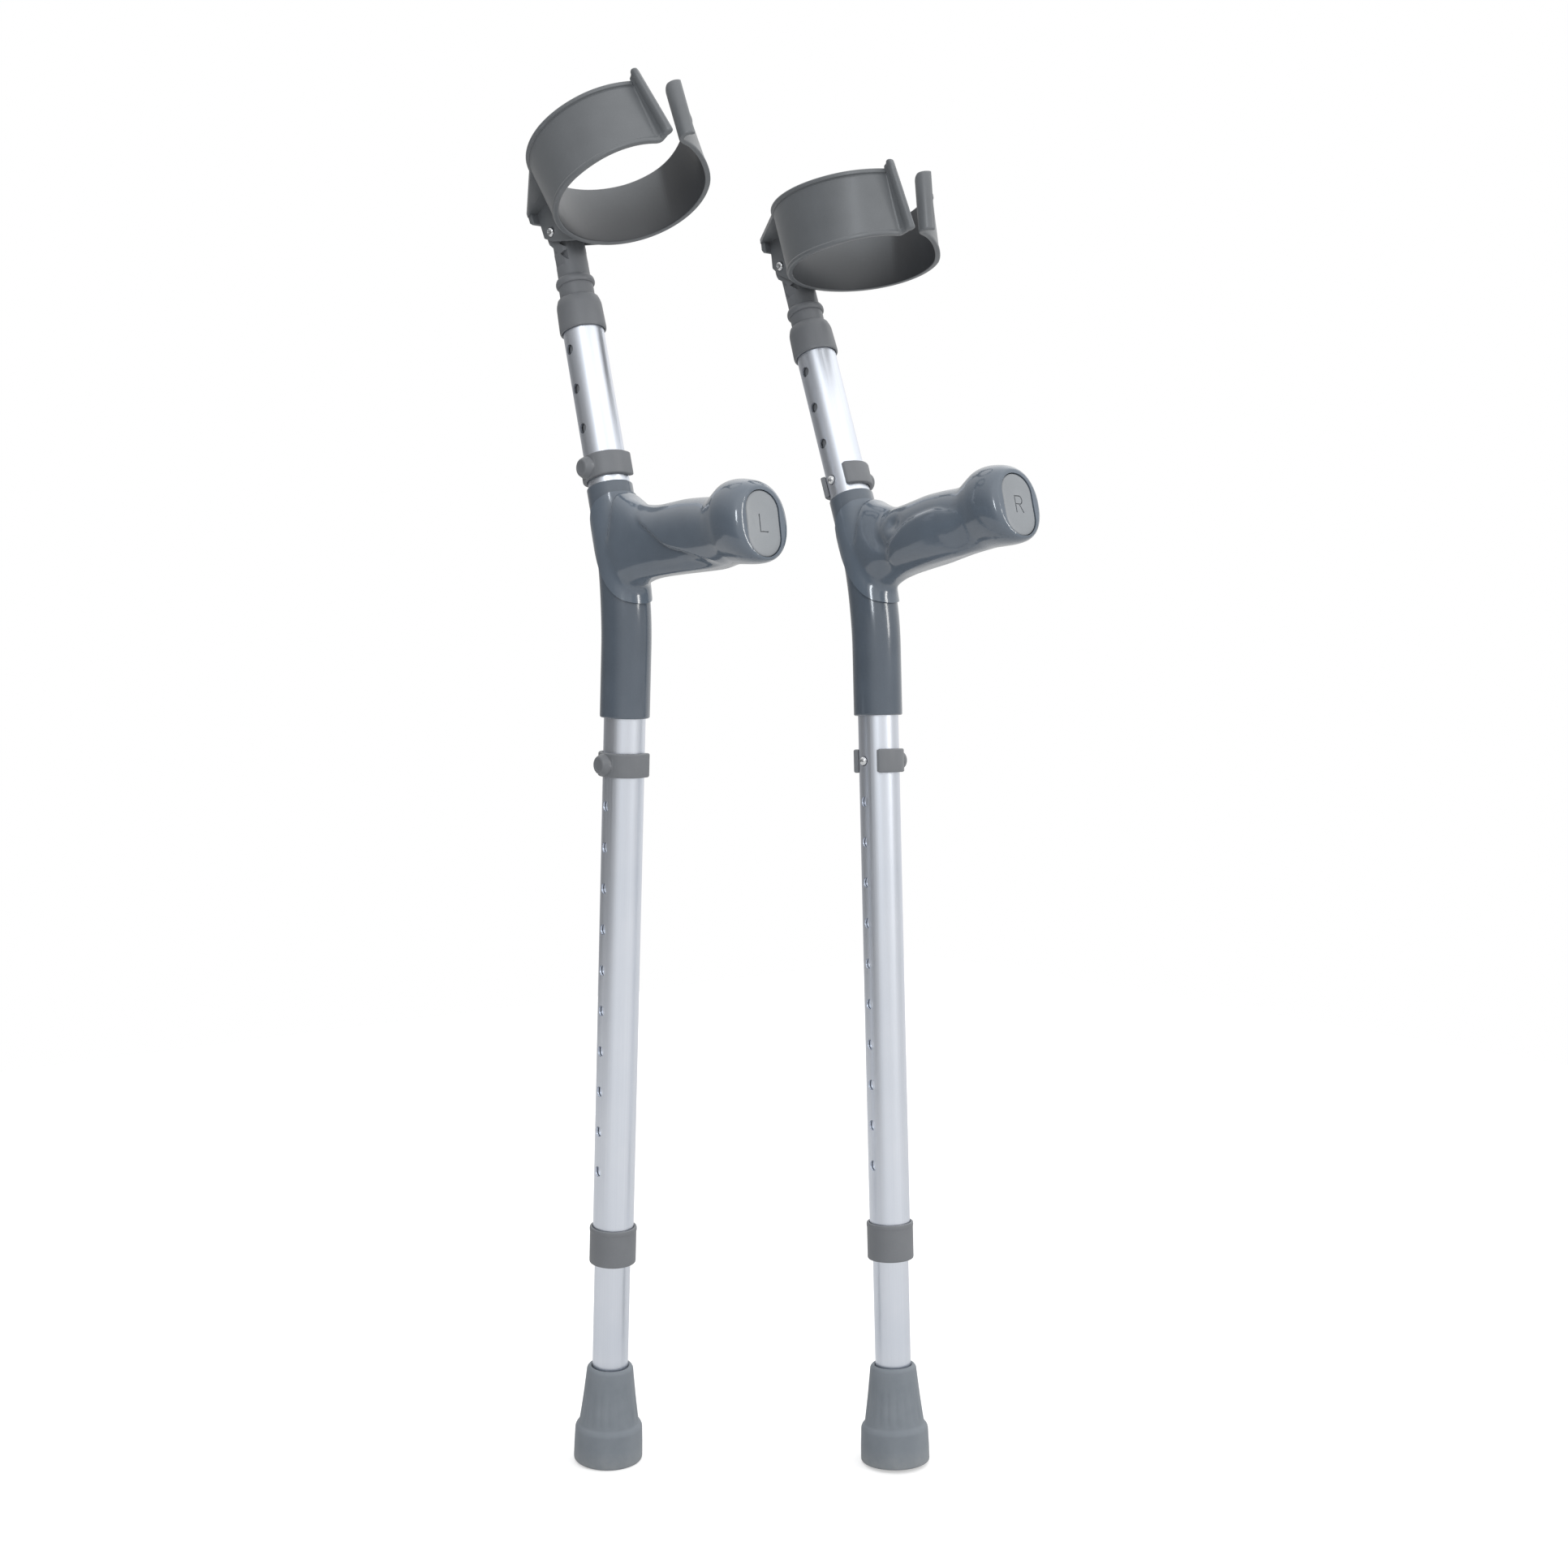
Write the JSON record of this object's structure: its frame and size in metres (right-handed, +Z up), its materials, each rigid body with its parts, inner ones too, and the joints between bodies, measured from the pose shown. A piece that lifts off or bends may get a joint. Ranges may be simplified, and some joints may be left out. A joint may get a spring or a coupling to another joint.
{
  "type": "forearm crutches",
  "caption": "Pair of forearm crutches with hinged closed cuffs, anatomical grips, and leg and cuff height set by sliding tubes locked with clips and pins.",
  "frame": {"origin": "centre of the pair's box on the floor, at the height of the lowest edge of the tips", "axes": "+Z up, handles point to -Y, +X from the left crutch to the right one"},
  "size_m": [0.2514, 0.2701, 0.8329],
  "materials": {
    "tip_rubber": "matt grey moulded rubber",
    "steel": "bright plated steel",
    "aluminium": "satin anodised tube",
    "grey_plastic": "satin moulded plastic",
    "grip_core_plastic": "glossy blue-grey moulded plastic",
    "grip_cover_plastic": "glossy blue-grey soft plastic",
    "grip_cap_plastic": "satin moulded plastic",
    "cuff_plastic": "satin moulded plastic"
  },
  "bodies": {
    "left_leg": {"left_leg_tube": "aluminium", "left_ferrule": "tip_rubber", "left_ferrule_washer": "steel"},
    "left_frame": {"left_main_tube": "aluminium", "left_leg_collar": "grey_plastic", "left_grip_core": "grip_core_plastic", "left_grip_cover": "grip_cover_plastic", "left_grip_end_cap": "grip_cap_plastic", "left_grip_pin": "steel", "left_forearm_collar": "grey_plastic"},
    "left_leg_lock": {"left_leg_clip": "grey_plastic", "left_leg_clip_pin": "steel"},
    "left_forearm_lock": {"left_forearm_clip": "grey_plastic", "left_forearm_clip_pin": "steel"},
    "left_stem": {"left_cuff_stem": "grey_plastic"},
    "left_cuff": {"left_cuff": "cuff_plastic", "left_cuff_rivet": "steel"},
    "right_leg": {"right_leg_tube": "aluminium", "right_ferrule": "tip_rubber", "right_ferrule_washer": "steel"},
    "right_frame": {"right_main_tube": "aluminium", "right_leg_collar": "grey_plastic", "right_grip_core": "grip_core_plastic", "right_grip_cover": "grip_cover_plastic", "right_grip_end_cap": "grip_cap_plastic", "right_grip_pin": "steel", "right_forearm_collar": "grey_plastic"},
    "right_leg_lock": {"right_leg_clip": "grey_plastic", "right_leg_clip_pin": "steel"},
    "right_forearm_lock": {"right_forearm_clip": "grey_plastic", "right_forearm_clip_pin": "steel"},
    "right_stem": {"right_cuff_stem": "grey_plastic"},
    "right_cuff": {"right_cuff": "cuff_plastic", "right_cuff_rivet": "steel"}
  },
  "joints": [
    {"name": "left_leg_extension", "type": "slide", "parent": "left_leg", "child": "left_frame", "axis": [-0.0021, -0.0523, 0.9986], "range_m": [0, 0.25]},
    {"name": "left_leg_clip_pull", "type": "slide", "parent": "left_frame", "child": "left_leg_lock", "axis": [-0.9999, -0.0139, -0.0028], "range_m": [0, 0.033], "deforming": ["left_leg_clip"]},
    {"name": "left_forearm_clip_pull", "type": "slide", "parent": "left_frame", "child": "left_forearm_lock", "axis": [-0.9999, -0.0139, -0.0028], "range_m": [0, 0.033], "deforming": ["left_forearm_clip"]},
    {"name": "left_forearm_height", "type": "slide", "parent": "left_frame", "child": "left_stem", "axis": [-0.0065, 0.2689, 0.9631], "range_m": [0, 0.075]},
    {"name": "left_cuff_swing", "type": "hinge", "parent": "left_stem", "child": "left_cuff", "pos_m": [-0.07571, 0.11418, 0.75786], "axis": [0.9999, 0.0139, 0.0028], "range_deg": [-4.2, 25.8]},
    {"name": "right_leg_extension", "type": "slide", "parent": "right_leg", "child": "right_frame", "axis": [0.0142, 0.0557, 0.9983], "range_m": [0, 0.25]},
    {"name": "right_leg_clip_pull", "type": "slide", "parent": "right_frame", "child": "right_leg_lock", "axis": [0.9998, -0.0143, -0.0134], "range_m": [0, 0.033], "deforming": ["right_leg_clip"]},
    {"name": "right_forearm_clip_pull", "type": "slide", "parent": "right_frame", "child": "right_forearm_lock", "axis": [0.9998, -0.0143, -0.0134], "range_m": [0, 0.033], "deforming": ["right_forearm_clip"]},
    {"name": "right_forearm_height", "type": "slide", "parent": "right_frame", "child": "right_stem", "axis": [0.0178, 0.3712, 0.9284], "range_m": [0, 0.075]},
    {"name": "right_cuff_swing", "type": "hinge", "parent": "right_stem", "child": "right_cuff", "pos_m": [0.07578, 0.08023, 0.74985], "axis": [0.9998, -0.0143, -0.0134], "range_deg": [-26.5, 3.5]},
    {"name": "crutches_apart", "type": "slide", "parent": "left_leg", "child": "right_leg", "axis": [1, 0, 0], "range_m": [0, 0.3]}
  ]
}
